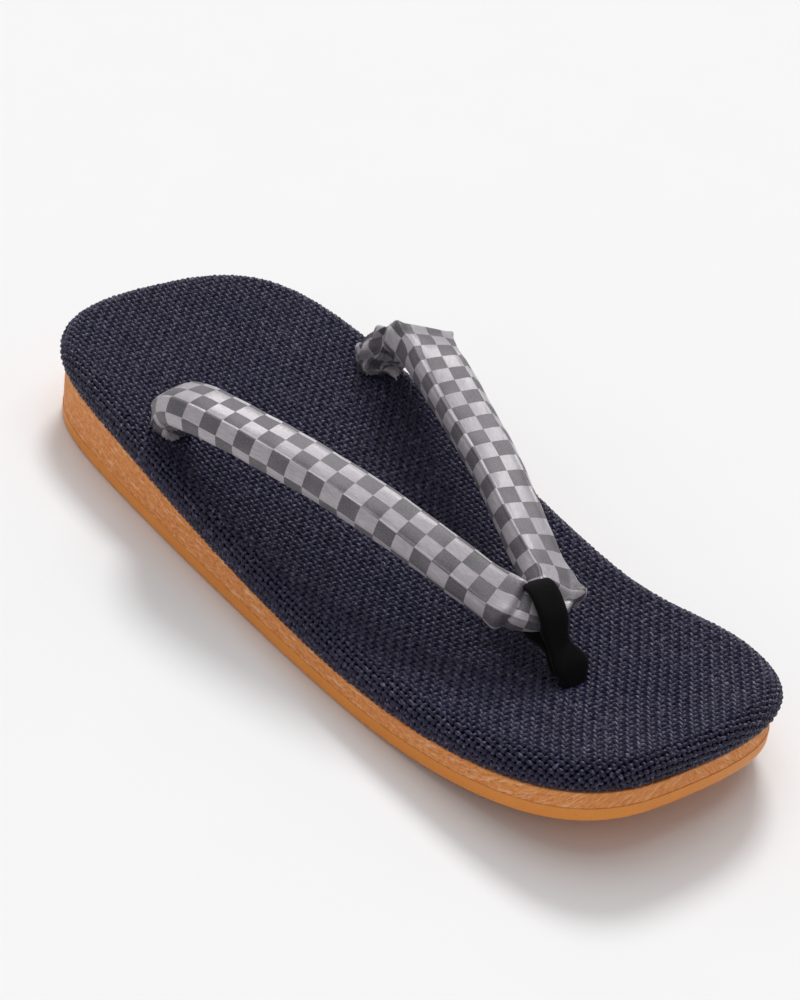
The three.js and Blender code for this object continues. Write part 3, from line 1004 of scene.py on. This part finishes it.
def shift_checks(uvs, angle, rows_at):
    """Between the folds beside the loop the cloth lies another way, so its checks don't meet."""
    degrees = np.degrees(angle) + 180 / len(angle)
    middle = uvs[..., 0].mean(axis=2) + CHECK_START
    for fold in FOLDS:
        line = fold_line(degrees[None], rows_at, fold)
        side = fold["side"]
        inside = (side * (middle - line) < 0) & (side * (middle - rows_at[LOOP_ROW]) > 0)
        uvs[..., 0] += np.where(inside, side * CHECK_SHIFT[0], 0)[..., None]
        uvs[..., 1] += np.where(inside, CHECK_SHIFT[1], 0)[..., None]
    return uvs


def strap_relief(u, angle, rows_at):
    """How far each point of the strap stands out from its plain section, in folds placed one by one.

    u is the place along the strap, angle the place round it: 0 outer side, 90 top, 180 inner side.
    rows_at gives u for each row of STRAP_SECTIONS.
    """
    u = u[:, None]
    degrees = np.degrees(angle)[None]
    relief = np.zeros((len(u), len(angle)))
    for fold in FOLDS:
        relief += front_fold(u, degrees, rows_at, fold)
    relief += rear_pleats(u, degrees, rows_at[INNER_END_ROW], -1, PLEATS_INNER)
    relief += rear_pleats(u, degrees, rows_at[OUTER_END_ROW], 1, PLEATS_OUTER)
    for dent in DENTS:
        along = (u - rows_at[dent["row"]] - dent["past"]) / dent["long"]
        round_it = (degrees - dent["degrees"]) / dent["spread"]
        relief += dent["depth"] * bump(along) * bump(round_it)
    for crest in CRESTS:
        edge = bump((degrees - crest["degrees"]) / crest["spread"])
        relief += crest["height"] * edge * smoothstep(u / CREST_START)
    relief += RIPPLE * np.sin(u / 3.1 + np.radians(degrees) * 2) * np.sin(u / 7.7)
    return relief


def fold_line(degrees, rows_at, fold):
    """Where the fold beside the loop runs, from the strap's top down to its outer side."""
    return rows_at[LOOP_ROW] + fold["side"] * (fold["near"] + fold["slant"] * (1 - degrees / FOLD_TOP))


def front_fold(u, degrees, rows_at, fold):
    """A crease with a ridge beyond it, a flatter face towards the loop and a pointed corner."""
    past = fold["side"] * (u - fold_line(degrees, rows_at, fold))
    shown = smoothstep((degrees - FOLD_FOOT) / FOLD_FADE)
    shown = shown * smoothstep((FOLD_TOP + 35 - degrees) / FOLD_FADE)
    crease = swells(past, FOLD_CREASE)
    facet = -FACET_DEPTH * smoothstep(-past / FACET_START) * smoothstep((past + FACET_END) / FACET_FADE)
    below = fold["corner_degrees"] - degrees
    corner = swells(past, FOLD_POINT) * bump(below / np.where(below > 0, CORNER_BELOW, CORNER_ABOVE))
    return shown * (crease + facet) + fold["corner"] * corner


def swells(place, waves):
    """The sum of smooth swells, each given as its height, its middle and its spread."""
    return sum(height * bump((place - middle) / spread) for height, middle, spread in waves)


def rear_pleats(u, degrees, start, way, pleats):
    """Gathers that grow from a place on the strap to its end and run along it."""
    run = np.maximum(way * (u - start), 0)
    grow = smoothstep(run / pleats["grow"])
    drift = degrees + pleats["drift"] * run
    folds = np.zeros_like(run + degrees)
    for count, share, offset in pleats["waves"]:
        folds += share * (1 - 2 * np.abs(np.sin(np.radians(drift * count / 2 + offset))) ** PLEAT_POWER)
    hem = bump((run - pleats["rim"]) / HEM_SPREAD)
    hem = hem * (1 + HEM_WAVE * np.sin(np.radians(degrees * HEM_WAVES)))
    return grow * pleats["height"] * folds + pleats["flare"] * hem


# ---------------------------------------------------------------- front loop

def loop_path():
    """The band's middle line, as x, y, z and width: up the leg, round the strap and down again."""
    legs = catmull_rom(LEG_SECTIONS, np.linspace(0, len(LEG_SECTIONS) - 1, LEG_POINTS))
    along = unit(np.gradient(legs[:, [0, 2]], axis=0))
    front = np.stack([-along[:, 1], along[:, 0]], axis=-1)
    half = LOOP_BAND / 2
    pitch = math.radians(LOOP_PITCH)
    angle = np.radians(np.linspace(LOOP_OPEN_DEGREES, 360 - LOOP_OPEN_DEGREES, LOOP_POINTS))
    a = signed_power(np.cos(angle), 2 / LOOP_EXPONENT) * (LOOP_REACH + half)
    b = signed_power(np.sin(angle), 2 / LOOP_EXPONENT) * (LOOP_HEIGHT + half)
    ring_x = LOOP_MIDDLE[0] + a * math.cos(pitch) + b * math.sin(pitch)
    ring_z = LOOP_MIDDLE[2] - a * math.sin(pitch) + b * math.cos(pitch)
    ring_y = np.full(LOOP_POINTS, LOOP_MIDDLE[1])
    ring = np.column_stack([ring_x, ring_y, ring_z, np.full(LOOP_POINTS, LOOP_WIDTH)])
    upper = legs.copy()
    lower = legs.copy()
    upper[:, [0, 2]] += front * half
    lower[:, [0, 2]] -= front * half
    return np.vstack([upper[:LEG_JOIN:-1], ring, lower[LEG_JOIN + 1 :]])


def smooth_line(rows, rounds):
    """Rows of a line, each drawn towards its neighbours a number of times. The ends stay."""
    for _ in range(rounds):
        rows[1:-1] = rows[1:-1] * 0.5 + (rows[:-2] + rows[2:]) * 0.25
    return rows


def front_loop():
    """The velvet band: a flat rounded section carried along the loop's path."""
    rows = smooth_line(loop_path(), LOOP_SMOOTHING)
    along = unit(np.gradient(rows[:, [0, 2]], axis=0))
    out = np.stack([-along[:, 1], along[:, 0]], axis=-1)
    angle = np.linspace(0, 2 * np.pi, LOOP_SIDES, endpoint=False)
    power_wide, power_deep = LOOP_SECTION_POWERS
    wide = signed_power(np.cos(angle), power_wide)[None] * rows[:, 3:4] / 2
    deep = signed_power(np.sin(angle), power_deep)[None] * LOOP_BAND / 2
    x = rows[:, 0:1] + out[:, 0:1] * deep
    y = rows[:, 1:2] + wide
    z = rows[:, 2:3] + out[:, 1:2] * deep
    points = np.stack([x, y, z], axis=-1)
    return mesh_object("front_loop_velvet", points.reshape(-1, 3), grid_faces(len(rows), LOOP_SIDES, True))


# ---------------------------------------------------------------- stage

def stage():
    """A pale floor, an even pale surround and the suns."""
    corners = [(-1, -1), (1, -1), (1, 1), (-1, 1)]
    points = [(x * FLOOR_HALF, y * FLOOR_HALF, FLOOR_LEVEL) for x, y in corners]
    floor = mesh_object("floor", points, [(0, 1, 2, 3)])
    floor.data.materials.append(floor_material())
    floor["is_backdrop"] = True
    world = bpy.data.worlds.new("studio")
    bpy.context.scene.world = world
    world.use_nodes = True
    background = world.node_tree.nodes["Background"]
    background.inputs["Color"].default_value = (1.0, 1.0, 1.0, 1.0)
    background.inputs["Strength"].default_value = WORLD_STRENGTH
    for light in LIGHTS:
        data = bpy.data.lights.new(light["name"], "SUN")
        data.energy = light["strength"]
        data.angle = math.radians(light["spread"])
        sun = bpy.data.objects.new(light["name"], data)
        sun.rotation_mode = "QUATERNION"
        sun.rotation_quaternion = (-Vector(light["from"])).to_track_quat("-Z", "Y")
        bpy.context.scene.collection.objects.link(sun)
        sun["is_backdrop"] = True


def camera():
    """The photo's view of the sandal."""
    data = bpy.data.cameras.new("camera")
    data.lens = CAMERA_LENS
    data.sensor_width = CAMERA_SENSOR
    made = bpy.data.objects.new("camera", data)
    low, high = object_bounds()
    back = (Vector(CAMERA_AT) - (low + high) / 2).normalized()
    right = Vector(CAMERA_UP).cross(back).normalized()
    up = back.cross(right)
    turn = Matrix((right, up, back)).transposed()
    made.matrix_world = Matrix.Translation(CAMERA_AT) @ turn.to_4x4()
    bpy.context.scene.collection.objects.link(made)
    bpy.context.scene.camera = made
    bpy.context.scene.view_settings.view_transform = "Standard"


# ---------------------------------------------------------------- assembly

camera()
stage()
rubber = rubber_material()
finish_piece(outsole(), rubber, "rubber", "outsole")
finish_piece(tread(), rubber, "rubber")
finish_piece(midsole(), cork_material(), "cork", "midsole")
pad = Pad()
base = finish_piece(footbed_base(pad), pad_material(), "weave", "footbed")
along_material = weave_material("strands_along", (0.5, 5.0, 5.0), 0.0)
finish_piece(strand_floats(pad, "footbed_strands_along", True), along_material, "weave")
across_material = weave_material("strands_across", (5.0, 0.5, 5.0), 0.06)
finish_piece(strand_floats(pad, "footbed_strands_across", False), across_material, "weave")
cloth = finish_piece(strap(), cloth_material(), "cloth", "strap")
finish_piece(front_loop(), velvet_material(), "velvet", "front_loop")

bpy.context.view_layer.update()
